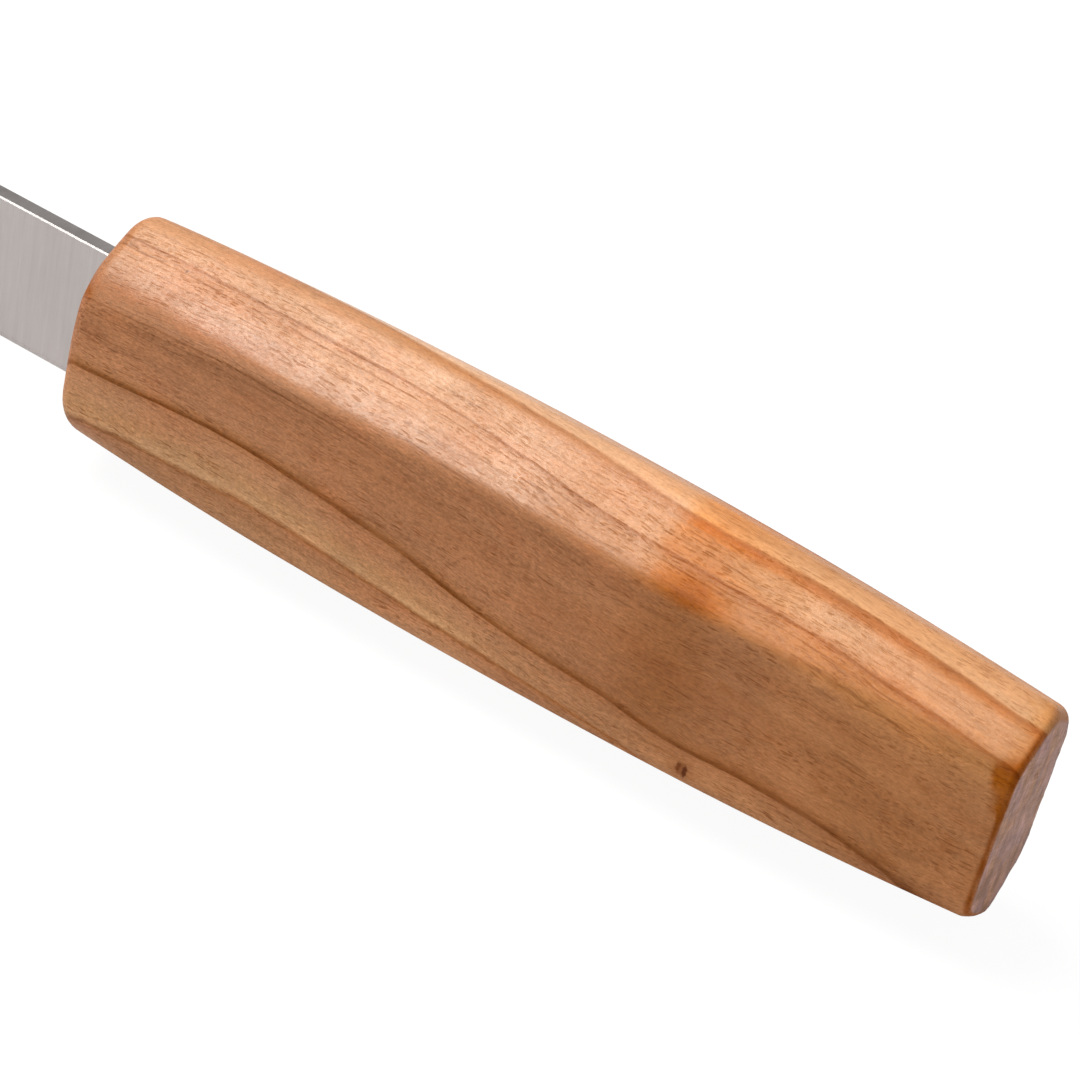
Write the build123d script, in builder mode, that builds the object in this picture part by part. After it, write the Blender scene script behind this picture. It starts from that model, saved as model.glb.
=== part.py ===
from build123d import *
import math
import os

# Fixed-blade whittling knife. Millimetres. +X runs from the blade towards the
# butt, +Z is the spine side, the cutting edge is on the -Z side, and the flat
# sides of handle and blade face +Y and -Y. The origin is the centre of the
# flat butt face. A station is a distance in +X from the handle's front face.

# ---- handle sizes ---------------------------------------------------------
handle_length = 120.0
facet_slope = math.radians(30.9)   # slope of the ridge facets off horizontal
crown_half_height = 16.97          # sharp half height at the swell, both ridges
spine_crown_at = 50.8              # station of the swell, spine side
edge_crown_at = 53.3               # station of the swell, edge side
spine_fall = 0.000646              # parabolic fall of the ridges from the swell
edge_fall = 0.000582
land_half_width = 10.23            # half width over the parallel side facets
front_half_width = 9.95
butt_half_width = 7.98
land_start = 42.0                  # stations between which the side facets
land_end = 72.0                    # are parallel
ridge_radius = 4.5
crease_radius = 3.2                # crease rounding at mid length
crease_radius_front = 7.2          # creases wash out towards both ends
crease_radius_butt = 5.1
crease_run_out = 40.0              # length of the wash-out at each end
front_rounding = 2.2
butt_rounding = 1.6
loft_stations = [0, 14, 28, 43, 57, 71, 85, 98, 110, 120]

# ---- mortise sizes --------------------------------------------------------
mortise_width = 2.9
mortise_height = 11.8
mortise_depth = 60.0
mortise_end_radius = 1.4

# ---- blade sizes ----------------------------------------------------------
blade_length = 80.0                # exposed length in front of the handle
stock_thickness = 2.3
spine_z = 8.35
edge_z = -9.93
spine_flat = 0.8                   # unground band under the spine
edge_stock = 0.36                  # thickness where flat grind meets edge bevel
edge_bevel_height = 0.75
edge_land = 0.05                   # thickness left along the very edge
grind_clearance = 1.0              # overrun of the grinding cut past the blank
straight_spine = 42.0              # straight spine in front of the handle
curve_mid_run = 20.0               # mid point of the curved spine, measured
curve_mid_drop = 3.6               # from the end of the straight spine
curve_start_tangent = (-1, 0)
curve_tip_tangent = (-0.56, -0.83)
tip_rise = 0.45                    # height of the blunt at the very tip
tip_run = 0.5                      # length of that blunt along the edge
spine_break = 0.18                 # broken corners along the spine

# ---- tang sizes -----------------------------------------------------------
tang_length = 56.0
tang_root_height = 11.0
tang_end_height = 8.0
tang_end_radius = 2.5
notch_radius = 1.1
# notch centres: station, height above the tang's centreline
tang_notches = [(20.0, 5.25), (38.0, 4.75), (29.0, -5.0), (47.0, -4.5)]

# ---- derived --------------------------------------------------------------
front_x = -handle_length
tip_x = front_x - blade_length
curve_start_x = front_x - straight_spine
tang_end_x = front_x + tang_length
tang_z = (spine_z + edge_z) / 2
half_stock = stock_thickness / 2
grind_top_z = spine_z - spine_flat
grind_bottom_z = edge_z - grind_clearance


def ridge_height(station, crown_at, fall):
    """Distance of a sharp ridge from the handle's axis."""
    return crown_half_height - fall * (station - crown_at) ** 2


def half_width(station):
    """Half width over the side facets, narrowing outside the parallel land."""
    front = max(0.0, (land_start - station) / land_start)
    butt = max(0.0, (station - land_end) / (handle_length - land_end))
    return (land_half_width - (land_half_width - front_half_width) * front ** 2
            - (land_half_width - butt_half_width) * butt ** 2)


def crease_rounding(station):
    """Radius between ridge and side facets, growing towards both ends."""
    front = max(0.0, 1.0 - station / crease_run_out) ** 2
    butt = max(0.0, (station - handle_length + crease_run_out) / crease_run_out) ** 2
    return (crease_radius + (crease_radius_front - crease_radius) * front
            + (crease_radius_butt - crease_radius) * butt)


# ---- blade and tang, one piece of steel -----------------------------------
with BuildPart() as blade:
    # blank: exposed blade outline
    with BuildSketch(Plane.XZ):
        with BuildLine():
            Polyline(
                (tip_x, edge_z + tip_rise),
                (tip_x + tip_run, edge_z),
                (front_x, edge_z),
                (front_x, spine_z),
                (curve_start_x, spine_z),
            )
            Spline(
                (curve_start_x, spine_z),
                (curve_start_x - curve_mid_run, spine_z - curve_mid_drop),
                (tip_x, edge_z + tip_rise),
                tangents=[curve_start_tangent, curve_tip_tangent],
            )
        make_face()
    extrude(amount=half_stock, both=True)

    # broken corners: the four highest long edges, straight and curved spine
    chamfer(
        blade.edges().filter_by(Axis.Y, reverse=True)
        .filter_by(Axis.Z, reverse=True).sort_by(Axis.Z)[-4:],
        length=spine_break,
    )

    # flat grind on both sides from just under the spine, small edge bevel
    with BuildSketch(Plane.YZ.offset(tip_x - grind_clearance)):
        with BuildLine():
            Polyline(
                (half_stock, grind_top_z),
                (edge_stock / 2, edge_z + edge_bevel_height),
                (edge_land / 2, edge_z),
                (edge_land / 2, grind_bottom_z),
                (stock_thickness, grind_bottom_z),
                (stock_thickness, grind_top_z),
                close=True,
            )
        make_face()
        mirror(about=Plane.YZ)
    extrude(amount=blade_length + 2 * grind_clearance, mode=Mode.SUBTRACT)

    # stick tang, full stock thickness, tapering towards its rounded end
    with BuildSketch(Plane.XZ):
        with BuildLine():
            Polyline(
                (front_x, tang_z - tang_root_height / 2),
                (tang_end_x, tang_z - tang_end_height / 2),
                (tang_end_x, tang_z + tang_end_height / 2),
                (front_x, tang_z + tang_root_height / 2),
                close=True,
            )
        make_face()
        # round notches that key the tang in its adhesive bed
        with Locations([(front_x + station, tang_z + rise) for station, rise in tang_notches]):
            Circle(notch_radius, mode=Mode.SUBTRACT)
    extrude(amount=half_stock, both=True)

    fillet(
        blade.edges().filter_by(Axis.Y).group_by(Axis.X)[-1],
        radius=tang_end_radius,
    )

# ---- handle, one piece of wood --------------------------------------------
with BuildPart() as handle:
    # hexagonal sections with rounded corners, lofted from front to butt
    for station in loft_stations:
        side = half_width(station)
        top = ridge_height(station, spine_crown_at, spine_fall)
        bottom = -ridge_height(station, edge_crown_at, edge_fall)
        drop = side * math.tan(facet_slope)
        with BuildSketch(Plane.YZ.offset(front_x + station)) as section:
            with BuildLine():
                Polyline(
                    (0, top),
                    (-side, top - drop),
                    (-side, bottom + drop),
                    (0, bottom),
                    (side, bottom + drop),
                    (side, top - drop),
                    close=True,
                )
            make_face()
            # the two ridges lie on the centreline
            fillet(section.vertices().filter_by_position(Axis.X, -0.1, 0.1),
                   radius=ridge_radius)
            # creases: outermost vertices of the -Y side, then of the +Y side
            for outermost in (0, -1):
                fillet(section.vertices().group_by(Axis.X)[outermost],
                       radius=crease_rounding(station))
    loft()
    fillet(handle.faces().sort_by(Axis.X)[0].edges(), radius=front_rounding)
    fillet(handle.faces().sort_by(Axis.X)[-1].edges(), radius=butt_rounding)

    # mortise for the tang, open at the front face
    with BuildSketch(Plane.XZ):
        with Locations((front_x + mortise_depth / 2, tang_z)):
            Rectangle(mortise_depth, mortise_height)
    extrude(amount=mortise_width / 2, both=True, mode=Mode.SUBTRACT)
    fillet(
        handle.edges().filter_by(Axis.Y).group_by(Axis.X)[-1],
        radius=mortise_end_radius,
    )

# ---- cured adhesive bed, what is left of the mortise around the tang ------
with BuildPart() as tang_adhesive:
    with BuildSketch(Plane.XZ):
        with Locations((front_x + mortise_depth / 2, tang_z)):
            Rectangle(mortise_depth, mortise_height)
    extrude(amount=mortise_width / 2, both=True)
    fillet(
        tang_adhesive.edges().filter_by(Axis.Y).group_by(Axis.X)[-1],
        radius=mortise_end_radius,
    )
    add(blade.part, mode=Mode.SUBTRACT)

# ---- export ---------------------------------------------------------------
os.makedirs("parts", exist_ok=True)
pieces = {"blade": blade, "handle": handle, "tang_adhesive": tang_adhesive}
for name, builder in pieces.items():
    piece = builder.part
    piece.label = name
    export_step(piece, f"parts/{name}.step")
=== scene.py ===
# A knife with an oiled cherry handle. The handle is modelled here; the blade and the tang
# adhesive are given materials. +X runs to the butt, +Z to the spine, -Y to the camera.
# The butt is at x = 0. "along" is the distance in mm from the front end of the handle.
import itertools
import math

import bmesh
import bpy
import numpy as np
from mathutils import Matrix, Vector


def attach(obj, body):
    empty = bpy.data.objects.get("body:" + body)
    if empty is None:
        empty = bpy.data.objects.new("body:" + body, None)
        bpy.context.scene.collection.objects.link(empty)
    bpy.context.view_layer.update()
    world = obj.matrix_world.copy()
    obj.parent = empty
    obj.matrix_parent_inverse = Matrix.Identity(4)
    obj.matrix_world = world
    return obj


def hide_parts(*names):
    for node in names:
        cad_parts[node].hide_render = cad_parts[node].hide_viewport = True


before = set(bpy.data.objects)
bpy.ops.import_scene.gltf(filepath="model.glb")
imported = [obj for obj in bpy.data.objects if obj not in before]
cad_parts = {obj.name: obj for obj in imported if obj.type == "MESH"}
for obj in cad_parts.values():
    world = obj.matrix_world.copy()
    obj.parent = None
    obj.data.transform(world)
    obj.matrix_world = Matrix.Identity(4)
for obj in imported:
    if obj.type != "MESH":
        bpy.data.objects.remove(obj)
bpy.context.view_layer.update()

MM = 0.001
scene = bpy.context.scene
scene.view_settings.view_transform = "Standard"
scene.view_settings.look = "None"

# handle, in mm
LENGTH = 120.0
FACET_SLOPE = math.tan(math.radians(30.9))
RIDGE_RADIUS = 4.5
MIN_RADIUS = 0.05               # smallest corner left after an inset
FRONT_RADIUS = 2.2              # rounding of the front end
BUTT_START = LENGTH - 2.0       # where the rounding of the butt may begin
MORTISE_HALF = np.array([1.46, 5.91])       # y, z
MORTISE_CENTRE = np.array([0.0, -0.79])
MORTISE_DEPTH = 2.4

# mesh density
ARC_POINTS, SIDE_POINTS, RIDGE_POINTS = 13, 44, 20
FRONT_ROUND_ROWS, BODY_ROWS, BUTT_ROUND_ROWS = 9, 282, 8
FRONT_FACE_ROWS, BUTT_FACE_ROWS = 26, 30


# ---------------------------------------------------------------- noise and masks
def cell_value(x, y, z, seed):
    """repeatable random values in -1..1 at whole-number points"""
    bits = (x * 374761393 + y * 668265263 + z * 2147483647 + seed * 974634777) & 0xFFFFFFFF
    bits = ((bits ^ (bits >> 13)) * 1274126177) & 0xFFFFFFFF
    bits = ((bits ^ (bits >> 16)) * 2246822519) & 0xFFFFFFFF
    return ((bits ^ (bits >> 15)) & 0xFFFFFF).astype(np.float64) / float(0xFFFFFF) * 2.0 - 1.0


def noise3(points, seed):
    """smooth value noise in -1..1 at points (n, 3)"""
    cell = np.floor(points).astype(np.int64)
    part = points - cell
    part = part * part * part * (part * (part * 6 - 15) + 10)
    total = np.zeros(len(points))
    for corner in itertools.product((0, 1), repeat=3):
        weight = np.prod(np.where(corner, part, 1 - part), axis=1)
        total += weight * cell_value(*(cell + corner).T, seed)
    return total


def fbm(points, seed, octaves=4):
    """noise3 summed over octaves, each finer and half as strong as the last"""
    total, strength, norm = np.zeros(len(points)), 1.0, 0.0
    for octave in range(octaves):
        total += strength * noise3(points, seed + 31 * octave)
        norm += strength
        strength *= 0.5
        points = points * 2.03 + 17.1
    return total / norm


def ramp(value, start, end, top=1.0):
    """straight climb from 0 at start to 1 at end; start may lie above end"""
    return np.clip((value - start) / (end - start), 0, top)


def rise(value, start, end):
    """eased climb from 0 at start to 1 at end; start may lie above end"""
    t = ramp(value, start, end)
    return t * t * (3 - 2 * t)


def fall(value, start, end):
    return 1 - rise(value, start, end)


def span(value, start, full, fade, end):
    """climbs from start to full, then falls from fade to end"""
    return rise(value, start, full) * fall(value, fade, end)


def bell(*axes):
    """soft spot of height 1; each axis is (value, centre, spread)"""
    return np.exp(-sum(((value - centre) / spread) ** 2 for value, centre, spread in axes))


# ---------------------------------------------------------------- handle shape
def spine_height(along):
    return 16.97 - 0.000646 * (along - 50.8) ** 2


def edge_height(along):
    return 16.97 - 0.000582 * (along - 53.3) ** 2


def half_width(along):
    front = max(0.0, (42.0 - along) / 42.0)
    butt = max(0.0, (along - 72.0) / (LENGTH - 72.0))
    return 10.23 - 0.28 * front ** 2 - 2.25 * butt ** 2


def crease_radius(along):
    front = max(0.0, 1.0 - along / 34.0)
    butt = max(0.0, (along - 88.0) / 32.0)
    return 2.0 + 5.2 * front ** 1.6 + 3.1 * butt ** 1.6


def section(along, inset=0.0):
    """closed y, z outline: a hexagon with rounded corners, moved in by inset"""
    width, top, bottom = half_width(along), spine_height(along), edge_height(along)
    drop = width * FACET_SLOPE
    corners = np.array([(0, top), (-width, top - drop), (-width, drop - bottom),
                        (0, -bottom), (width, drop - bottom), (width, top - drop)])
    crease = crease_radius(along)
    radii = [RIDGE_RADIUS, crease, crease] * 2
    edges = np.roll(corners, -1, 0) - corners
    edges /= np.linalg.norm(edges, axis=1)[:, None]
    outward = np.stack([edges[:, 1], -edges[:, 0]], 1)
    arcs = []
    for index, corner in enumerate(corners):
        before, after = outward[index - 1], outward[index]
        radius = max(radii[index], inset + MIN_RADIUS)
        centre = np.linalg.solve(np.array([before, after]),
                                 np.array([before @ corner - radius, after @ corner - radius]))
        start = math.atan2(before[1], before[0])
        end = math.atan2(after[1], after[0])
        turn = (end - start + math.pi) % (2 * math.pi) - math.pi
        angle = start + turn * np.linspace(0, 1, ARC_POINTS)
        arcs.append(centre + (radius - inset) * np.stack([np.cos(angle), np.sin(angle)], 1))
    outline = []
    for index, arc in enumerate(arcs):
        start, end = arc[-1], arcs[(index + 1) % 6][0]
        count = SIDE_POINTS if index in (1, 4) else RIDGE_POINTS
        steps = np.linspace(0, 1, count + 2)[1:-1, None]
        outline += [arc, start + (end - start) * steps]
    return np.concatenate(outline)


def outline_normals(outline):
    ahead = np.roll(outline, -1, 0) - np.roll(outline, 1, 0)
    normal = np.stack([ahead[:, 1], -ahead[:, 0]], 1)
    return normal / np.linalg.norm(normal, axis=1)[:, None]


def butt_radius(outline):
    """the sawn end is crisp along the side facets and knocked back more at the ridges"""
    y, z = outline.T
    radius = 0.40 + 0.75 * ramp(np.abs(z), 7.5, 13.5) ** 1.5
    radius += 0.42 * ramp(-y, 3.0, 7.0)             # near side
    radius += 0.55 * ramp(-z, 9.0, 13.5)            # edge side
    radius += 1.0 * ramp(y, -2.5, 3.5) ** 1.2       # far side
    radius += 0.05 * np.sin(z * 0.9 + y * 0.5) + 0.04 * np.sin(z * 2.3 + 1.0)
    return np.clip(radius, 0.2, 1.65)


def make_row(along, outline):
    """one row of points; along is one value or one per point"""
    return np.column_stack([np.full(len(outline), along), outline])


def handle_sides():
    """rows from the rim of the front face to the rim of the butt"""
    rows = []
    for turn in np.linspace(0, math.pi / 2, FRONT_ROUND_ROWS)[:-1]:
        along = FRONT_RADIUS * (1 - math.cos(turn))
        rows.append(make_row(along, section(along, FRONT_RADIUS * (1 - math.sin(turn)))))
    for along in np.linspace(FRONT_RADIUS, BUTT_START, BODY_ROWS):
        rows.append(make_row(along, section(along)))
    radius = butt_radius(section(LENGTH - 1.0))
    for turn in np.linspace(0, math.pi / 2, BUTT_ROUND_ROWS):
        along = LENGTH - radius * (1 - math.sin(turn))
        outline = np.array([section(here)[index] for index, here in enumerate(along)])
        outline -= outline_normals(outline) * (radius * (1 - math.cos(turn)))[:, None]
        rows.append(make_row(along, outline))
    return rows


def front_face(rim):
    """rows from the blind end of the mortise to the rim of the front face"""
    outline = rim[:, 1:]
    ray = outline - MORTISE_CENTRE
    mouth = ray * (MORTISE_HALF / np.maximum(np.abs(ray), 1e-9)).min(1)[:, None]
    for signs in itertools.product((-1, 1), repeat=2):
        corner = MORTISE_HALF * signs
        mouth[np.argmin(np.hypot(*(mouth - corner).T))] = corner
    mouth += MORTISE_CENTRE
    rows = [make_row(0.0, mouth + (outline - mouth) * (1 - step / FRONT_FACE_ROWS))
            for step in range(1, FRONT_FACE_ROWS + 1)]
    rows += [make_row(depth, mouth) for depth in (0.1, 0.8, MORTISE_DEPTH)]
    rows += [make_row(MORTISE_DEPTH, mouth * (narrow, 1)) for narrow in (0.5, 0.05)]
    return rows[::-1]


def butt_face(rim):
    """rows from the rim of the butt in to a seam up its middle"""
    outline = rim[:, 1:]
    core = np.clip(outline, (0, -9.0), (0, 9.0)) * 0.62
    return [make_row(LENGTH, core + (outline - core) * (1 - step / BUTT_FACE_ROWS))
            for step in range(1, BUTT_FACE_ROWS + 1)]


def handle_grid():
    sides = handle_sides()
    rows = np.array(front_face(sides[0]) + sides + butt_face(sides[-1]))
    count = rows.shape[1]
    here = np.arange((len(rows) - 1) * count).reshape(-1, count)
    beside = np.roll(here, -1, 1)
    quads = np.stack([here, beside, beside + count, here + count], 2)
    return rows.reshape(-1, 3), quads.reshape(-1, 4)


def shape_ends(verts):
    """leans and dresses the two ends in place; returns how far each point was stretched"""
    along, y, z = verts.T       # views, so the changes below land in verts
    # the saw cut leans a few degrees: the far edge sits further in
    along -= ramp(along, 100.0, 120.0) ** 2 * 0.56 * ramp(y, -1.0, 7.0)
    # and the cut was made a third of a millimetre long
    stretch = 0.33 * ramp(along, 80.0, 120.0) ** 2
    along += stretch
    z += 0.28 * ramp(along, 92.0, 120.0, top=1.02) ** 2 * ramp(-z, 5.0, 11.0)
    # the front end is sanded away a little more at the two spine-side corners
    reach = np.hypot(y / half_width(0.0), z / 15.3)
    dome = 0.72 * ramp(reach, 0.5, 1.0, top=1.1) ** 1.4 * ramp(z, 0.0, 8.5) ** 1.2
    along += dome * np.clip(1 - along / 9.0, 0, 1) ** 2
    return stretch


def vertex_normals(points, quads):
    triangles = np.concatenate([quads[:, [0, 1, 2]], quads[:, [0, 2, 3]]])
    first, second, third = (points[triangles[:, k]] for k in range(3))
    face_normals = np.cross(second - first, third - first)
    total = np.zeros_like(points)
    for k in range(3):
        np.add.at(total, triangles[:, k], face_normals)
    return total / np.maximum(np.linalg.norm(total, axis=1), 1e-12)[:, None]


# dents in the butt: y, z, radius, depth
DENTS = ((-0.9, 6.2, 0.55, 0.22), (2.2, 1.0, 0.4, 0.10), (-3.0, -5.5, 0.35, 0.08))


def hand_finish(verts, normals, cut_along):
    """sanded waves on the sides, saw marks and dents in the butt"""
    along, y, z = verts.T
    facing = normals[:, 0]
    # noise is read at verts divided by the size of its features
    wave = 0.055 * fbm(verts / (21, 9, 9), seed=3, octaves=3)
    wave += 0.018 * fbm(verts / (5.5, 3.2, 3.2), seed=11, octaves=3)
    move = wave * (1 - ramp(np.abs(facing), 0.5, 0.9))
    on_butt = (cut_along > BUTT_START) & (facing > 0.3)
    saw_place = np.column_stack([z * 0.94 + y * 0.34, y, z * 0])
    saw = (0.030 * noise3(saw_place / (0.55, 14, 1), seed=5)
           + 0.022 * noise3(saw_place / (1.3, 25, 1), seed=6))
    chatter = 0.03 * fbm(verts / (math.inf, 1.3, 1.3), seed=8)
    move = np.where(on_butt, (saw + chatter) * np.clip(facing, 0, 1) ** 2, move)
    on_front = (along < 2.3) & (facing < -0.3)
    move = np.where(on_front, 0.02 * fbm(verts / (math.inf, 1.6, 1.6), seed=9), move)
    moved = verts + normals * move[:, None]
    for dent_y, dent_z, radius, depth in DENTS:
        dent = bell((y, dent_y, radius * 1.3), (z, dent_z, radius))
        moved[:, 0] -= np.where(on_butt, depth * dent, 0)
    return moved


verts, faces = handle_grid()
stretch = shape_ends(verts)
normals = vertex_normals(verts, faces)
along, y, z = verts.T
cut_along = along - stretch         # distance along, counted so that the butt is at 120
points = hand_finish(verts, normals, cut_along)

mesh = bpy.data.meshes.new("handle_wood")
mesh.from_pydata(((points - (LENGTH, 0, 0)) * MM).tolist(), [], faces.tolist())
mesh.update()
handle = bpy.data.objects.new("handle_wood", mesh)
scene.collection.objects.link(handle)
mesh.polygons.foreach_set("use_smooth", [True] * len(mesh.polygons))


# ---------------------------------------------------------------- growth rings
def track(stations, spread=4.0):
    """a smoothed curve through (along, value) stations, sampled every half millimetre"""
    places = np.arange(-20.0, 140.5, 0.5)
    values = np.interp(places, *np.array(stations, float).T)
    kernel = np.exp(-0.5 * (np.arange(-24, 25) * 0.5 / spread) ** 2)
    values = np.convolve(np.pad(values, 24, mode="edge"), kernel / kernel.sum(), mode="valid")
    return np.interp(along, places, values)


# height across the rings, and the place along each ring
RING_LEAN, RING_NORM = 1.2, 1.562
height = (z + RING_LEAN * y) / RING_NORM
across = (y - RING_LEAN * z) / RING_NORM

# four dark late-wood lines, A nearest the spine: (distance along, height) stations
ring_a = track([
    (0, 11.35), (31, 11.1), (43, 10.2), (55, 9.8), (68, 8.85), (77, 8.05), (92, 8.0),
    (102, 7.55), (113, 6.55), (120, 5.6)])
ring_b = track([
    (0, 6.05), (11, 6.3), (28, 6.05), (46, 5.8), (56, 5.1), (69, 3.1), (82, 2.75),
    (92, 2.95), (99, 2.5), (110, 1.25), (120, 0.3)])
ring_c = track([
    (0, -8.5), (10, -7.95), (22, -7.42), (30, -7.6), (38, -8.1), (50, -9.15), (57, -10.1),
    (66, -10.85), (72, -11.05), (77.5, -11.45), (83, -11.98), (86, -11.9), (91, -11.35),
    (97, -11.45), (104, -11.7), (112, -12.1), (120, -12.6)], spread=2.2)
ring_d = track([
    (0, -12.9), (6, -12.6), (17, -12.1), (31, -12.05), (44, -12.8), (65, -13.6),
    (85, -14.6), (112, -15.6), (120, -16)])
KNOTS = (ring_d, ring_c, ring_b, ring_a)
KNOT_RINGS = (-12.6, -8.3, 6.1, 10.4)       # ring coordinate of each line, D to A


def ring_coordinate():
    ring = np.where(height < KNOTS[0], KNOT_RINGS[0] + (height - KNOTS[0]), 0.0)
    for k in range(3):
        inside = (height >= KNOTS[k]) & (height < KNOTS[k + 1])
        t = (height - KNOTS[k]) / (KNOTS[k + 1] - KNOTS[k])
        ring = np.where(inside, KNOT_RINGS[k] + t * (KNOT_RINGS[k + 1] - KNOT_RINGS[k]), ring)
    ring = np.where(height >= KNOTS[3], KNOT_RINGS[3] + (height - KNOTS[3]), ring)
    # the rings bow on the far side of the handle
    far = ramp(y, -2.0, 10.0)
    return ring - 0.012 * far * (across - across.mean()) ** 2


# ---------------------------------------------------------------- painted masks
facing, facing_y, facing_z = normals.T
above_a, above_b, above_c, above_d = (height - line for line in (ring_a, ring_b, ring_c, ring_d))
over_b = rise(above_b, 0.0, 0.8)
over_c = rise(above_c, 0.3, 1.6)
rag = fbm(verts / (5, 4, 4), seed=21)           # roughens the borders of the masks
fine_rag = fbm(verts / (1.8, 2.4, 2.4), seed=22)

# amber: a warm band across the upper near facet, a patch at its crease, a strip along line A
top = rise(z + 0.35 * rag, 9.4, 10.9)
band = rise(along + 2.2 * rag, 74.0, 77.0) * fall(along + 5 * rag, 80, 93) * top
corner = (bell((along, 81.5, 4.6), (y, -9.6, 2.9), (z, 10.9, 1.7))
          * rise(z + 0.5 * rag, 8.6, 10.2))
amber = np.clip(band * (0.34 + 0.34 * over_b) + 1.15 * corner, 0, 1.15)
low_band = (0.55 * rise(along + 4 * rag, 84, 96) * fall(along, 118, 122) * top
            * rise(y + 0.6 * rag, -5.0, -8.0))
strip = (rise(along + 2 * rag, 73.5, 77.5) * bell((above_a, -0.75, 0.85))
         * (0.85 + 0.3 * fine_rag))
strip *= 0.62 * (1 - 0.35 * rise(along, 98, 112)) * (1 - 0.6 * rise(along, 115, 118))
butt_band = (0.42 * rise(cut_along, 117.2 + 0.8 * rag, 118.9 + 0.5 * rag)
             * rise(z, 8.6, 9.8) * (0.9 + 0.3 * fine_rag))
amber = np.clip(amber * (1 - 0.25 * rise(above_b, 0.0, 0.6)) + low_band + strip + butt_band,
                0, 1.15)

# dark stain at the butt arris and at the front crease
start = 116.5 + 0.42 * np.clip(9.2 - z, -1, 8) + 0.7 * rag + 0.3 * fine_rag
butt_patch = (rise(cut_along, start, start + 0.9) * rise(z, 2.2, 4.6) * (y < 0)
              * rise(z + 0.5 * fine_rag - 0.25 * (cut_along - 118), 10.4, 8.9))
butt_line = (bell((cut_along - 0.12 * fine_rag, 119.62, 0.24 + 0.08 * rag))
             * rise(y, -2, -4) * rise(z, -11, -9) * (0.85 + 0.4 * fine_rag))
butt_top = 0.10 * bell((cut_along, 119.4, 0.5)) * rise(z, 8.8, 9.6) * rise(y, 4, -2)
front_spot = 1.2 * bell((along, 1.6, 1.1), (y, -8.9, 2.2), (z + 0.4 * fine_rag, 8.2, 0.85))
front_rim = 0.12 * bell((along, 0.3, 1.1))
stain = np.clip((1.0 + 0.3 * fine_rag) * butt_patch + butt_line + butt_top
                + 0.95 * front_spot + front_rim, 0, 1)
stain *= ramp(np.clip(facing, 0, 1), 0.975, 0.875)      # keeps off the flat of the butt

# satin haze where the oil is rubbed thin: strongest on the top facets of the front half
between = (rise(above_b, 0.1, 0.5) * rise(-above_a, 0.6, 1.8)
           * rise(along + 4 * rag, 84, 94))
haze = (rise(facing_z + 0.10 * rag, 0.12, 0.50)
        * (1 - 0.72 * rise(along + 2.0 * rag, 73.5, 76.5) * (1 - 0.75 * between)))
haze *= (0.78 + 0.22 * fine_rag) * (0.80 + 0.20 * rise(along, 4, 20))
front_haze = 1.10 - 0.26 * over_b * fall(along, 50, 64) - 0.42 * rise(along, 56, 68)
haze *= np.where(along < 76, front_haze, 1.0)
haze *= 1 - 0.34 * bell((above_b, -1.2, 1.1)) * fall(along, 46, 62)
haze = np.maximum(haze, 0.42 * rise(along, 76, 78) * (1 - over_b)
                  * rise(facing_z, 0.22, 0.62) * (1 - corner))

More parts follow.
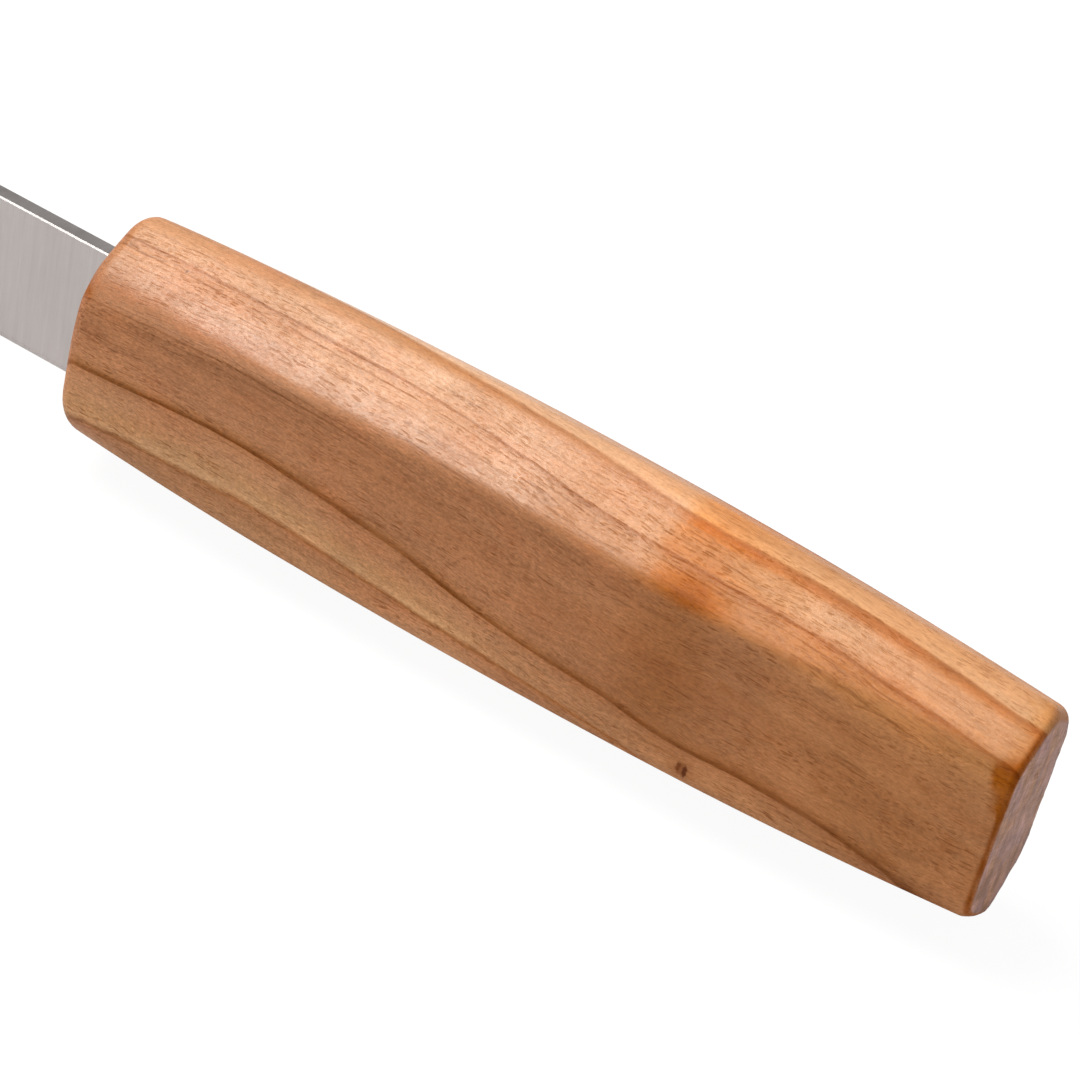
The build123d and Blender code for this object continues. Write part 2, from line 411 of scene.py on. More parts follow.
# tone: stretches that are darker, paler or warmer, as (mask, colour factor); most are the wood's
# own tone, a few on the spine ridge and the crease are painted highlight and painted sheen, and
# the paler stretch between lines B and A is partly painted sheen
upward = rise(facing_z, 0.15, 0.55)
near = rise(y, 0, -4)
up_near = upward * near
side_near = (1 - upward) * near
ragged = along + 2.5 * rag
TONES_AND_SHEEN = [
    # near side facet
    (side_near * over_c * span(ragged, 6, 16, 28, 42), (0.92, 0.93, 0.95)),
    (side_near * over_c * bell((ragged, 81, 5.5)), (0.86, 0.78, 0.62)),
    (side_near * over_c * rise(ragged, 90, 99), (1.13, 1.15, 1.12)),
    (side_near * (1 - over_c) * fall(ragged, 30, 50), (1.06, 1.09, 1.12)),
    (side_near * bell((ragged, 81.5, 8.5), (z, 8.4, 3.4)), (1.13, 1.17, 1.25)),
    (side_near * bell((ragged, 86, 5.0), (z, 4.0, 3.0)), (1.05, 1.06, 1.09)),
    (side_near * span(ragged, 98, 104, 112, 118), (0.97, 0.95, 0.90)),
    (side_near * bell((ragged, 103, 5.0), (z, -0.5, 2.4)), (0.91, 0.90, 0.88)),
    # upper facets
    (upward * rise(along + 0.8 * rag, 116.6, 118.6), (0.96, 0.98, 0.92)),
    (upward * fall(ragged, 18, 34), (0.95, 0.91, 0.87)),
    (upward * rise(ragged, 110, 114.5), (1.04, 1.07, 1.12)),
    (upward * bell((ragged, 11, 8.0), (y, -3.0, 1.5)), (0.98, 0.94, 0.86)),
    (up_near * span(ragged, 55, 62, 71, 75) * rise(y, -5, -7.5), (0.94, 0.89, 0.82)),
    (up_near * rise(ragged, 94, 100) * fall(above_b, -0.4, 0.3), (0.90, 0.88, 0.76)),
    # the paler stretch between lines B and A: partly the wood's cream tone, partly painted sheen
    (up_near * rise(ragged, 98, 105) * rise(above_b, 0.2, 1.0) * fall(above_a, -1.2, -0.2),
     (1.11, 1.13, 1.15)),
    (up_near * span(ragged, 81, 88, 97, 103) * rise(above_b, 0.4, 1.4)
     * fall(above_a, -1.6, -0.6), (1.08, 1.18, 1.30)),
    (up_near * rise(y, -6.2, -7.6) * rise(ragged, 50, 56), (0.96, 0.95, 0.91)),
    (up_near * bell((ragged, 89, 7.0)), (1.03, 1.04, 1.03)),
    # spine-side crease and the spine ridge, with painted sheen and painted highlight
    # painted sheen: the crease arc, turned partly up, made paler and cooler where the satin
    # sheen runs down onto it
    (bell((facing_z, 0.36, 0.20)) * (facing_y < 0) * fall(ragged, 26, 44)
     * rise(along, 0, 3), (0.98, 1.02, 1.09)),
    (near * bell((along + fine_rag, 81.6, 2.9), (z + 0.5 * rag, 10.4, 1.35))
     * rise(z + 0.4 * fine_rag, 8.4, 9.8), (0.72, 0.64, 0.52)),
    # painted highlight: the up-facing spine ridge and the strip beside it made lighter and
    # paler, standing in for light and sheen
    (rise(facing_z, 0.80, 0.95) * fall(ragged, 66, 78), (1.05, 1.08, 1.14)),
    (rise(facing_z, 0.70, 0.86) * rise(y, -4.5, -2.5) * fall(ragged, 40, 62),
     (1.03, 1.11, 1.20)),
    (rise(facing_z, 0.8, 0.9) * bell((ragged, 29, 10.0), (y, -0.2, 2.0)), (1.03, 1.05, 1.07)),
    # along line C, low on the near side, and below line D
    (near * bell((above_c, 0, 0.42)) * fall(ragged, 78, 90), (0.98, 0.96, 0.90)),
    (near * bell((above_c, 0, 0.55), (ragged, 26, 7.0)), (0.92, 0.88, 0.82)),
    (near * rise(z, -8.0, -10.0) * fall(ragged, 78, 92), (1.04, 1.08, 1.12)),
    (near * fall(above_d, -0.6, 0.2) * fall(ragged, 34, 52), (0.87, 0.86, 0.82)),
]
tone = np.ones((len(verts), 3))
for mask, factor in TONES_AND_SHEEN:
    tone *= 1.0 + np.clip(mask, 0, 1)[:, None] * (np.array(factor) - 1)

# the grain space slides with the mean of lines B and C, so fibres follow the rings
slide = ring_c * 0.5 + ring_b * 0.5
ATTRIBUTES = {
    "ringu": ring_coordinate(),
    "grain": np.column_stack([along, y - 0.55 * slide, z - 0.75 * slide]),
    "endness": np.clip(np.abs(facing), 0, 1),
    "amber": amber,
    "stain": stain,
    "haze": np.clip(haze, 0, 1),
    "place": verts,
    "upward": upward,
    # tone carries the wood's own tone and also painted sheen and painted highlight
    "tone": tone,
}
for name, values in ATTRIBUTES.items():
    kind, field = ("FLOAT", "value") if values.ndim == 1 else ("FLOAT_VECTOR", "vector")
    data = mesh.attributes.new(name, kind, "POINT").data
    data.foreach_set(field, values.astype(np.float32).ravel())


def close_ends():
    """closes the seam up the middle of the butt, then the blind end inside the mortise"""
    bm = bmesh.new()
    bm.from_mesh(mesh)
    bmesh.ops.remove_doubles(bm, verts=bm.verts, dist=1e-6)
    seam = [v for v in bm.verts if v.is_boundary and v.co.x > -0.06]
    bmesh.ops.remove_doubles(bm, verts=seam, dist=3e-5)
    bmesh.ops.holes_fill(bm, edges=[e for e in bm.edges if e.is_boundary], sides=0)
    bmesh.ops.dissolve_degenerate(bm, edges=bm.edges, dist=1e-7)
    bm.to_mesh(mesh)
    bm.free()


close_ends()
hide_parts("handle")
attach(handle, "root")


# ---------------------------------------------------------------- node helpers
def put(tree, socket, value):
    """links a socket, or sets a number, vector or colour"""
    if isinstance(value, bpy.types.NodeSocket):
        tree.links.new(value, socket)
    elif isinstance(value, tuple) and len(value) < len(socket.default_value):
        socket.default_value = (*value, 1.0)
    else:
        socket.default_value = value


class NodeNet:
    """a material and short ways to add nodes; span and to are (from, to) ranges"""

    def __init__(self, name):
        self.material = bpy.data.materials.new(name)
        self.material.use_nodes = True
        self.tree = self.material.node_tree
        self.surface = self.tree.nodes["Principled BSDF"]

    def node(self, kind, inputs=(), **settings):
        """inputs are (socket name or index, value) pairs"""
        made = self.tree.nodes.new(kind)
        for key, value in settings.items():
            setattr(made, key, value)
        for key, value in inputs:
            put(self.tree, made.inputs[key], value)
        return made

    def finish(self, **inputs):
        """sets surface inputs; an underscore stands for a space"""
        for key, value in inputs.items():
            put(self.tree, self.surface.inputs[key.replace("_", " ")], value)
        return self.material

    def attribute(self, name, out="Fac"):
        return self.node("ShaderNodeAttribute", attribute_name=name).outputs[out]

    def math(self, operation, first, second=0.0, clamp=False):
        return self.node("ShaderNodeMath", enumerate((first, second, 0.0)),
                         operation=operation, use_clamp=clamp).outputs[0]

    def chain(self, operation, first, *others):
        for other in others:
            first = self.math(operation, first, other)
        return first

    def add(self, *values):
        return self.chain("ADD", *values)

    def mul(self, *values):
        return self.chain("MULTIPLY", *values)

    def gap(self, value, centre):
        return self.math("ABSOLUTE", self.math("SUBTRACT", value, centre))

    def vector(self, operation, *values, out=0):
        return self.node("ShaderNodeVectorMath", enumerate(values),
                         operation=operation).outputs[out]

    def placed(self, vector, scale, offset):
        if scale is not None:
            vector = self.vector("MULTIPLY", vector, scale)
        return vector if offset is None else self.vector("ADD", vector, offset)

    def noise(self, vector, scale=None, detail=2, rough=0.5, offset=None, distortion=0.0,
              out="Fac"):
        inputs = (("Vector", self.placed(vector, scale, offset)), ("Scale", 1.0),
                  ("Detail", detail), ("Roughness", rough), ("Distortion", distortion))
        return self.node("ShaderNodeTexNoise", inputs).outputs[out]

    def voronoi(self, vector, scale, offset=None):
        inputs = (("Vector", self.placed(vector, scale, offset)), ("Scale", 1.0))
        return self.node("ShaderNodeTexVoronoi", inputs).outputs

    def remap(self, value, span=(0, 1), to=(0, 1), smooth=False):
        return self.node("ShaderNodeMapRange", enumerate((value, *span, *to)), clamp=True,
                         interpolation_type="SMOOTHSTEP" if smooth else "LINEAR").outputs[0]

    def vary(self, vector, scale, span=(0, 1), to=(0, 1), smooth=False, **noise):
        """remapped noise"""
        return self.remap(self.noise(vector, scale, **noise), span, to, smooth)

    def ramp(self, value, stops):
        made = self.node("ShaderNodeValToRGB", [(0, value)])
        elements = made.color_ramp.elements
        elements.remove(elements[-1])
        elements[0].position = stops[0][0]
        elements[0].color = (*stops[0][1], 1)
        for position, colour in stops[1:]:
            elements.new(position).color = (*colour, 1)
        return made.outputs[0]

    def mix(self, amount, first, second, mode="MIX"):
        return self.node("ShaderNodeMix", ((0, amount), (6, first), (7, second)),
                         data_type="RGBA", blend_type=mode).outputs[2]

    def gain(self, colour, factor):
        return self.node("ShaderNodeVectorMath", ((0, colour), ("Scale", factor)),
                         operation="SCALE").outputs[0]

    def bump(self, height, distance):
        inputs = (("Strength", 1.0), ("Distance", distance), ("Height", height))
        return self.node("ShaderNodeBump", inputs).outputs[0]

    def split(self, vector):
        return self.node("ShaderNodeSeparateXYZ", [(0, vector)]).outputs

    def object_mm(self):
        place = self.node("ShaderNodeTexCoord").outputs["Object"]
        return self.vector("MULTIPLY", place, (1000.0, 1000.0, 1000.0))


def srgb(*levels):
    """linear colour from 0..255 levels"""
    return tuple((c / 255) / 12.92 if c <= 10.3 else ((c / 255 + 0.055) / 1.055) ** 2.4
                 for c in levels)


# ---------------------------------------------------------------- cherry wood
HEART, HEART_DEEP = srgb(181, 124, 84), srgb(175, 117, 77)
LIGHT = srgb(188, 133, 92)
SAP, SAP_PALE = srgb(192, 140, 95), srgb(202, 153, 108)
DARK, MID = srgb(120, 66, 22), srgb(164, 106, 62)
TOP, TOP_PALE = srgb(194, 134, 89), srgb(212, 159, 116)
RUST, EMBER = srgb(180, 114, 64), srgb(140, 80, 34)
RING_LOW, RING_HIGH = -26.0, 24.0


def ring_stops(sap, sap_pale, line):
    """ring colours from edge side to spine side"""
    stops = [
        (-26.0, MID), (-21.2, LIGHT), (-17.4, MID), (-16.6, LIGHT), (-15.2, LIGHT),
        (-13.9, LIGHT), (-12.8, HEART), (-12.5, line), (-12.2, sap_pale), (-11.2, sap),
        (-9.9, LIGHT), (-8.9, HEART), (-8.35, HEART_DEEP), (-8.1, MID), (-7.0, HEART),
        (-4.2, HEART_DEEP), (-2.4, HEART_DEEP), (-1.9, HEART), (0.2, HEART_DEEP),
        (1.4, HEART), (3.6, TOP), (5.2, TOP), (6.0, RUST), (6.3, TOP), (9.0, TOP),
        (10.2, RUST), (10.7, TOP_PALE), (15.4, TOP), (15.8, RUST), (16.3, LIGHT)]
    return [((ring - RING_LOW) / (RING_HIGH - RING_LOW), colour) for ring, colour in stops]


# long late-wood lines: ring, half width of the core, fade below, fade above, colour, strength
LONG_LINES = (
    (-17.0, 0.14, 0.10, 0.7, DARK, 0.8), (-12.5, 0.04, 0.14, 0.5, DARK, 0.28),
    (-8.3, 0.07, 0.11, 0.55, DARK, 0.90), (3.0, 0.03, 0.10, 0.3, EMBER, 0.30),
    (4.9, 0.04, 0.22, 0.10, EMBER, 0.42), (6.08, 0.06, 0.30, 0.14, EMBER, 0.58),
    (7.7, 0.04, 0.14, 0.10, EMBER, 0.30), (10.4, 0.06, 0.45, 0.22, EMBER, 0.50),
    (15.9, 0.12, 0.40, 0.10, EMBER, 0.8))

# short fine lines of the front half: ring, width, strength, fade start and end along
SHORT_LINES = (
    (-2.45, 0.16, 0.55, 34, 56), (-1.95, 0.07, 0.45, 40, 62), (-3.05, 0.08, 0.40, 26, 46),
    (-3.7, 0.07, 0.40, 16, 38), (-5.2, 0.06, 0.32, 22, 50), (-6.4, 0.06, 0.30, 30, 64),
    (1.0, 0.07, 0.30, 44, 64), (2.0, 0.06, 0.28, 52, 70))

# a pin knot low on the near side (first four), then specks: centre, size, strength, colour
SPOTS = (
    ((86.4, -10.1, -8.7), (2.4, 3.0, 1.7), 0.35, srgb(146, 86, 40)),
    ((86.5, -10.1, -8.8), (0.95, 2.0, 1.15), 0.62, srgb(124, 64, 20)),
    ((86.9, -10.1, -8.9), (0.34, 2.0, 1.10), 0.88, srgb(92, 38, 4)),
    ((86.1, -10.1, -8.6), (0.32, 2.0, 0.85), 0.72, srgb(108, 50, 8)),
    ((10.9, -4.2, 13.4), (0.24, 0.26, 0.22), 0.75, srgb(116, 58, 10)),
    ((76.0, -10.1, 9.8), (0.55, 2.0, 0.40), 0.45, srgb(122, 66, 34)),
    ((99.0, -9.4, 8.2), (2.2, 2.0, 0.55), 0.32, srgb(124, 74, 42)),
    ((80.5, -10.1, 1.5), (3.4, 2.0, 1.3), 0.22, srgb(130, 74, 40)),
    ((84.0, -10.1, 4.6), (2.6, 2.0, 1.0), 0.20, srgb(130, 74, 40)),
    ((112.5, -9.0, -5.2), (2.4, 2.0, 0.9), 0.25, srgb(120, 72, 38)))


class Cherry(NodeNet):
    """oiled cherry; each method lays its layer over self.colour"""

    def __init__(self):
        super().__init__("cherry_oiled")
        self.grain = self.attribute("grain", "Vector")
        self.rings()
        self.late_wood()
        self.fibres()
        self.hairlines()
        self.pores()
        self.clouds()
        self.end_grain()
        self.spots()

    def over(self, amount, colour):
        self.colour = self.mix(amount, self.colour, colour)

    def tint(self, amount, factor):
        self.over(amount, self.mix(1.0, self.colour, factor, "MULTIPLY"))

    def brighten(self, factor):
        self.colour = self.gain(self.colour, factor)

    def rings(self):
        grain = self.grain
        ring = self.attribute("ringu")
        # fibres wander off the straight by a few degrees
        warp = self.noise(grain, (0.055, 0.16, 0.16), detail=3, rough=0.55, out="Color")
        warp = self.placed(self.vector("ADD", warp, (-0.5, -0.5, -0.5)), (0.0, 3.4, 3.4), None)
        self.wavy = self.vector("ADD", grain, warp)
        # the rings wander a little, slowly and then raggedly
        ring = self.add(
            ring,
            self.vary(grain, (0.035, 0.30, 0.30), detail=3, rough=0.55, to=(-0.55, 0.55)))
        self.ring = self.add(
            ring, self.vary(grain, (0.20, 1.6, 1.6), detail=3, rough=0.6, to=(-0.13, 0.13)))
        position = self.remap(self.ring, span=(RING_LOW, RING_HIGH))
        self.along = self.split(grain)[0]
        border = self.vary(grain, (0.05, 0.3, 0.3), to=(-14, 14))
        fade = self.remap(self.add(self.along, border), span=(42, 78), smooth=True)
        self.colour = self.mix(fade, self.ramp(position, ring_stops(SAP, SAP_PALE, MID)),
                               self.ramp(position, ring_stops(LIGHT, LIGHT, RUST)))

    def late_wood(self):
        self.lines = 0.0
        patchy = self.vary(self.grain, (0.09, 0.25, 0.25), detail=3, rough=0.6,
                           span=(0.30, 0.62), to=(0.45, 1.0))
        for ring, core, below, above, colour, strength in LONG_LINES:
            low = self.remap(self.ring, (ring - core - below, ring - core), smooth=True)
            high = self.remap(self.ring, (ring + core, ring + core + above), (1, 0), smooth=True)
            mask = self.mul(self.math("POWER", self.mul(low, high), 1.6),
                            self.mul(patchy, strength))
            self.over(mask, colour)
            self.lines = self.math("MAXIMUM", self.lines, mask)
        for ring, width, strength, start, end in SHORT_LINES:
            line = self.remap(self.gap(self.ring, ring), (width, width * 0.2), smooth=True)
            fade = self.remap(self.along, (start, end), (strength, 0), smooth=True)
            self.over(self.mul(self.mul(line, fade), patchy), DARK)

    def fibres(self):
        """broad drift, streaks, fibres, then sanding grain that is stronger to the front"""
        middle = (0.25, 0.75)
        self.brighten(self.vary(self.grain, (0.045, 0.10, 0.10), middle, (0.90, 1.10)))
        self.streak = self.noise(self.wavy, (0.06, 0.95, 0.95), detail=4, rough=0.62)
        self.brighten(self.remap(self.streak, middle, (0.90, 1.10)))
        self.fibre = self.noise(self.wavy, (0.60, 3.6, 3.6), detail=4, rough=0.78)
        self.brighten(self.remap(self.fibre, middle, (0.86, 1.14)))
        self.sand = self.noise(self.grain, (1.9, 5.0, 5.0), detail=3, rough=0.8)
        self.upward = self.attribute("upward")
        rubbed = self.mix(self.upward,
                          self.remap(self.along, (66, 90), (2.1, 1.25), smooth=True),
                          self.remap(self.along, (66, 90), (1.25, 0.15), smooth=True))
        sanding = self.remap(self.sand, middle, (-0.17, 0.17))
        self.brighten(self.add(1.0, self.mul(rubbed, sanding)))

    def hairline(self, scale, seed, width, patches, span, to):
        offset = (seed, seed * 0.7, seed * 1.9)
        wander = self.noise(self.wavy, scale, detail=3, rough=0.6, offset=offset)
        line = self.remap(self.gap(wander, 0.5), (width, width * 0.1), smooth=True)
        return self.mul(line, self.vary(self.grain, patches, span, to))

    def hairlines(self):
        """thin late-wood lines that run a long way, then soft curl across the grain"""
        coarse = self.hairline((0.016, 0.62, 0.62), seed=4.0, width=0.020,
                               patches=(0.05, 0.25, 0.25), span=(0.42, 0.62), to=(0, 1))
        fine = self.hairline((0.022, 1.3, 1.3), seed=11.0, width=0.028,
                             patches=(0.09, 0.5, 0.5), span=(0.45, 0.65), to=(0, 0.8))
        hair = self.math("MAXIMUM", coarse, fine)
        self.tint(self.mul(hair, 0.50), (0.55, 0.46, 0.38))
        self.curl = self.noise(self.grain, (0.11, 0.07, 0.09), distortion=0.4)
        self.brighten(self.remap(self.curl, (0.25, 0.75), (0.95, 1.05)))

    def dashes(self, scale, reach, share, seed, strength):
        """dashes along the fibres; share is how many cells hold one"""
        distance, pick = self.voronoi(self.wavy, scale, (seed, seed * 1.7, seed * 0.6))[:2]
        pick = self.split(pick)[0]
        hit = self.remap(distance, (reach, reach * 0.62), smooth=True)
        dash = self.mul(hit, self.remap(pick, (1 - share, 1 - share * 0.4)))
        return self.mul(dash, strength)

    def pores(self):
        pores = self.chain(
            "MAXIMUM",
            self.dashes((0.42, 4.4, 4.4), reach=0.42, share=0.42, seed=3.1, strength=0.95),
            self.dashes((0.95, 6.0, 6.0), reach=0.44, share=0.50, seed=9.7, strength=0.7),
            self.dashes((0.16, 3.9, 3.9), reach=0.38, share=0.34, seed=17.3, strength=0.85))
        patchy = self.vary(self.grain, (0.06, 0.35, 0.35), (0.35, 0.65), (0.35, 1.0))
        self.haze = self.attribute("haze")
        self.open_grain = self.mul(pores, patchy, self.remap(self.haze, to=(1.08, 0.62)))
        self.tint(self.mul(self.open_grain, 0.66), (0.52, 0.38, 0.24))

    def clouds(self):
        # brown blotches on the butt half, which is also a touch more amber
        blotch = self.vary(self.grain, (0.22, 0.42, 0.42), offset=(3.0, 1.0, 8.0), detail=4,
                           rough=0.62, span=(0.55, 0.70), smooth=True)
        self.tint(self.mul(blotch, self.remap(self.along, (60, 88), (0.15, 0.8))),
                  (0.86, 0.78, 0.66))
        self.tint(self.remap(self.along, (55, 95), smooth=True), (0.97, 0.93, 0.84))
        # reddish clouds
        cloud = self.vary(self.grain, (0.11, 0.28, 0.28), offset=(7.0, 3.0, 1.0), detail=4,
                          rough=0.6, span=(0.48, 0.66), smooth=True)
        self.tint(self.mul(cloud, self.remap(self.along, (66, 84), (0.75, 0.25))),
                  (1.02, 0.93, 0.88))
        # tiny pale flecks
        self.flecks = self.noise(self.grain, (1.5, 2.9, 2.9), detail=3, rough=0.65)
        self.brighten(self.remap(self.flecks, (0.3, 0.7), (0.93, 1.08)))
        # per-vertex tone (the wood's own tone, with painted sheen and painted highlight on the
        # ridge and crease) and amber
        tone = self.attribute("tone", "Vector")
        self.colour = self.mix(1.0, self.colour, tone, "MULTIPLY")
        amber = self.mul(self.attribute("amber"),
                         self.remap(self.streak, (0.2, 0.7), (0.75, 1.1)))
        self.tint(amber, (1.05, 0.74, 0.30))

    def end_grain(self):
        """the flat ends and their arrises, then the stain"""
        grain, middle = self.grain, (0.3, 0.7)
        self.endness = self.attribute("endness")
        _, y, z = self.split(self.attribute("grain", "Vector"))
        rings = self.mix(0.60, self.colour, srgb(184, 146, 132))
        self.mottle = self.noise(grain, (0.0, 0.85, 0.42), detail=5, rough=0.68, distortion=0.5)
        end = self.gain(rings, self.remap(self.mottle, middle, (0.74, 1.22)))
        hue = self.vary(grain, (0.0, 0.30, 0.22), offset=(5.0, 2.0, 9.0), detail=3, rough=0.6,
                        span=(0.35, 0.65), smooth=True)
        pale = self.mix(hue, srgb(200, 162, 158), srgb(198, 150, 122))
        pale = self.gain(pale, self.remap(self.mottle, middle, (0.76, 1.20)))
        end = self.mix(0.62, end, pale)
        patches = self.vary(grain, (0.0, 0.42, 0.26), offset=(2.0, 4.0, 6.0), detail=3,
                            rough=0.55, span=(0.34, 0.66), to=(0.76, 1.20))
        end = self.gain(end, patches)
        scuffs = self.vary(grain, (0.0, 2.6, 0.7), offset=(1.0, 7.0, 3.0), detail=3,
                           rough=0.6, span=(0.35, 0.72), to=(0.90, 1.16))
        end = self.gain(end, scuffs)
        saw_axis = self.add(self.mul(z, 0.94), self.mul(y, 0.34))
        saw_place = self.node("ShaderNodeCombineXYZ", enumerate(
            (self.mul(saw_axis, 4.5), self.mul(y, 0.25)))).outputs[0]
        self.saw = self.noise(saw_place, detail=3, rough=0.6)
        end = self.gain(end, self.remap(self.saw, middle, (0.86, 1.10)))
        dots = self.voronoi(grain, (0.0, 5.5, 5.5))[0]
        end = self.gain(end, self.remap(dots, (0.10, 0.32), (0.80, 1.0)))
        arris = self.remap(self.endness, (0.12, 0.75), smooth=True)
        self.tint(self.mul(arris, 0.45), (0.86, 0.74, 0.66))
        self.over(self.remap(self.endness, (0.88, 0.985), smooth=True), end)
        self.stain = self.math("MULTIPLY", self.attribute("stain"),
                               self.remap(self.mottle, middle, (0.8, 1.15)), clamp=True)
        self.tint(self.stain, (0.68, 0.42, 0.06))

    def spots(self):
        for centre, size, strength, colour in SPOTS:
            place = self.vector("ADD", self.attribute("place", "Vector"), (0, 0, 0))
            offset = self.vector("SUBTRACT", place, centre)
            offset = self.vector("MULTIPLY", offset, tuple(1.0 / v for v in size))
            distance = self.vector("LENGTH", offset, out="Value")
            ragged = self.vary(self.attribute("place", "Vector"), (1.5, 1.5, 2.4), detail=3,
                               rough=0.6, to=(-0.55, 0.55))
            self.over(self.remap(self.add(distance, ragged), (1.0, 0.45), (0, strength),
                                 smooth=True), colour)

    def roughness(self):
        return self.add(
            0.44, self.remap(self.flecks, (0.3, 0.75), (0.07, -0.06)),
            self.mul(self.open_grain, 0.18), self.mul(self.haze, -0.05),
            self.remap(self.curl, (0.25, 0.75), (0.05, -0.05)),
            self.remap(self.endness, (0.6, 0.97), (0, 0.18)))

    def sheen(self):
        depth = self.mul(
            self.remap(self.lines, to=(1.0, 0.25)), self.remap(self.upward, to=(0.84, 0.86)),
            self.remap(self.open_grain, to=(1.0, 0.60)),
            self.remap(self.attribute("amber"), to=(1.0, 0.58)))
        return self.mul(
            self.remap(self.haze, to=(0.15, 0.80)), depth,
            self.remap(self.stain, to=(1.0, 0.3)),
            self.vary(self.grain, (2.3, 3.3, 3.3), (0.3, 0.7), (0.55, 1.35), detail=3,
                      rough=0.75))

    def relief(self):
        side = self.add(self.mul(self.open_grain, -1.0), self.mul(self.fibre, 0.55),
                        self.mul(self.flecks, 0.8), self.mul(self.sand, 0.9))
        side = self.mul(side, self.remap(self.endness, (0.9, 0.5)))
        end = self.add(self.mul(self.saw, 1.6), self.mul(self.mottle, 1.2))
        end = self.mul(end, self.remap(self.endness, (0.9, 0.99)))
        return self.bump(self.add(side, end), distance=0.00003)


def cherry():
    net = Cherry()
    return net.finish(Base_Color=net.colour, Roughness=net.roughness(),
                      Specular_IOR_Level=net.sheen(), Specular_Tint=(1.0, 0.95, 0.86),
                      Normal=net.relief())


mesh.materials.append(cherry())


# ---------------------------------------------------------------- steel and adhesive
def steel():
    """grinding lines run across the blade, and lengthwise on the faces turned to +Z and -Z"""
    net = NodeNet("ground_steel")
    facing_up = net.split(net.node("ShaderNodeNewGeometry").outputs["Normal"])[2]
    place = net.object_mm()
    on_spine = net.remap(net.math("ABSOLUTE", facing_up), (0.5, 0.85))
    across = net.noise(place, (11.0, 0.3, 0.16), detail=4, rough=0.65)
    bands = net.noise(place, (1.1, 0.2, 0.04), detail=3)
    fine = net.noise(place, (22.0, 0.5, 0.5), detail=3, rough=0.6)
    lengthwise = net.noise(place, (0.12, 9.0, 0.3), detail=4, rough=0.6)
    cloud = net.noise(place, (0.12, 0.12, 0.12), detail=3)
    lines = net.mix(on_spine, across, lengthwise)
    tone = net.mul(net.remap(across, (0.25, 0.75), (0.92, 1.07)),
                   net.remap(bands, (0.25, 0.75), (0.95, 1.05)),
                   net.remap(cloud, (0.3, 0.7), (0.95, 1.04)))
    rough = net.add(net.remap(fine, (0.25, 0.75), (0.30, 0.42)),
                    net.remap(cloud, (0.3, 0.7), (-0.04, 0.05)))
    return net.finish(Base_Color=net.gain(srgb(182, 175, 172), tone), Metallic=1.0,
                      Roughness=rough,
                      Normal=net.bump(net.add(lines, net.mul(fine, 0.4)), distance=0.000012))


def epoxy():
    net = NodeNet("cured_epoxy")
    place = net.object_mm()
    lumps = net.noise(place, (0.9, 0.9, 0.9), detail=3)
    bubbles = net.remap(net.voronoi(place, (1.8, 1.8, 1.8))[0], (0.0, 0.25), (-0.8, 0.0))
    shade = net.remap(lumps, (0.3, 0.7), (0.7, 1.2))
    return net.finish(Base_Color=net.gain(srgb(66, 47, 33), shade),
                      Roughness=net.remap(lumps, (0.3, 0.7), (0.34, 0.52)),
                      Specular_IOR_Level=0.32,
                      Normal=net.bump(net.add(lumps, bubbles), distance=0.00006))


for name, material in (("blade", steel()), ("tang_adhesive", epoxy())):
    piece = bpy.data.objects[name]
    if not piece.material_slots:
        piece.data.materials.append(material)
    for slot in piece.material_slots:
        slot.material = material


# ---------------------------------------------------------------- floor, world and light
def floor_material():
    """pale floor; a glow that only the camera sees keeps it near white"""
    pale = (0.72, 0.72, 0.72)
    net = NodeNet("floor_pale")
    seen = net.node("ShaderNodeLightPath").outputs["Is Camera Ray"]
    glow = net.node("ShaderNodeMath", ((0, seen), (1, 0.945)), operation="MULTIPLY")
    net.finish(Base_Color=pale)
    return net.finish(Base_Color=net.mix(seen, pale, (0.07, 0.07, 0.07)), Roughness=0.9,
                      Specular_IOR_Level=0.2, Emission_Color=(1, 1, 1),
                      Emission_Strength=glow.outputs[0])


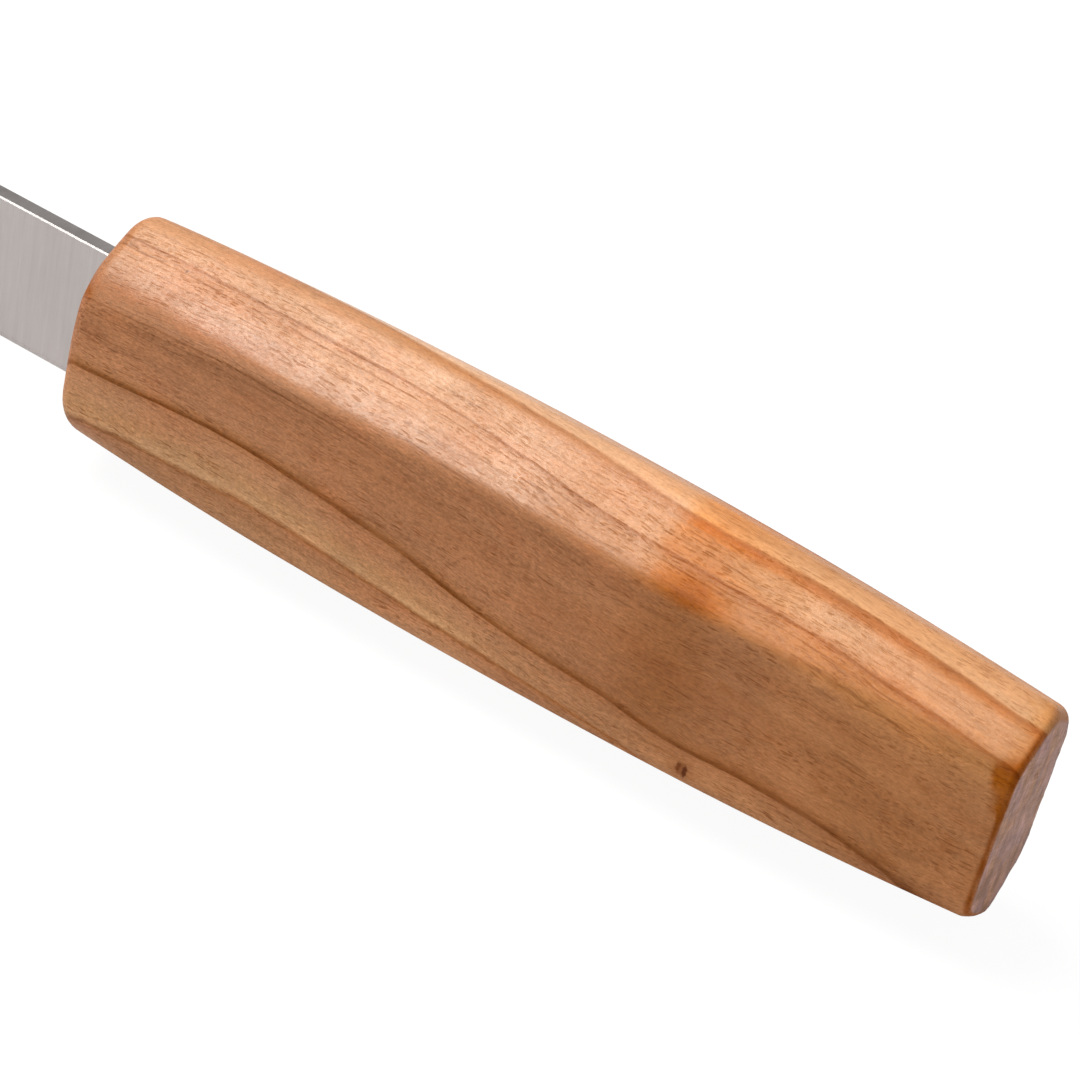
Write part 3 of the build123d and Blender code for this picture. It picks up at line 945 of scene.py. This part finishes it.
bpy.ops.mesh.primitive_plane_add(size=6.0, location=(-0.08, 0, -0.01625))
floor = bpy.context.object
floor.name = "floor"
floor.data.materials.append(floor_material())

# white to the camera, dimmer as a light
SKY_LIGHT, SKY_SEEN = 0.34, 1.0
world = bpy.data.worlds.new("studio")
scene.world = world
world.use_nodes = True
sky = world.node_tree
background = sky.nodes["Background"]
background.inputs["Color"].default_value = (1, 1, 1, 1)
sky_path = sky.nodes.new("ShaderNodeLightPath")
sky_mix = sky.nodes.new("ShaderNodeMix")
sky_mix.data_type = "FLOAT"
put(sky, sky_mix.inputs[0], sky_path.outputs["Is Camera Ray"])
put(sky, sky_mix.inputs[2], SKY_LIGHT)
put(sky, sky_mix.inputs[3], SKY_SEEN)
put(sky, background.inputs["Strength"], sky_mix.outputs[0])

KEY_PLACE, KEY_TARGET = Vector((-0.56, -0.12, 0.95)), Vector((-0.07, 0, 0))
key_data = bpy.data.lights.new("key", "AREA")
key_data.shape = "DISK"
key_data.size = 0.8
key_data.energy = 15.5
key = bpy.data.objects.new("key", key_data)
scene.collection.objects.link(key)
key.location = KEY_PLACE
key.rotation_euler = (KEY_TARGET - KEY_PLACE).to_track_quat("-Z", "Y").to_euler()
key.visible_camera = False

# ---------------------------------------------------------------- camera
CAMERA_RIGHT = (0.82007854, 0.53142552, 0.21226896)
CAMERA_UP = (-0.44712358, 0.36354549, 0.81726078)
CAMERA_BACK = (0.35714381, -0.76512848, 0.53574873)
CAMERA_PLACE = Vector((192.94223494 - LENGTH, -286.54541362, 202.08351556)) * MM
camera_data = bpy.data.cameras.new("camera")
camera = bpy.data.objects.new("camera", camera_data)
scene.collection.objects.link(camera)
turn = Matrix((CAMERA_RIGHT, CAMERA_UP, CAMERA_BACK)).transposed()
camera.matrix_world = Matrix.Translation(CAMERA_PLACE) @ turn.to_4x4()
camera_data.sensor_width = 36.0
camera_data.sensor_fit = "HORIZONTAL"
camera_data.lens = 114.45384762858416
camera_data.clip_start = 0.01
camera_data.clip_end = 50
scene.camera = camera
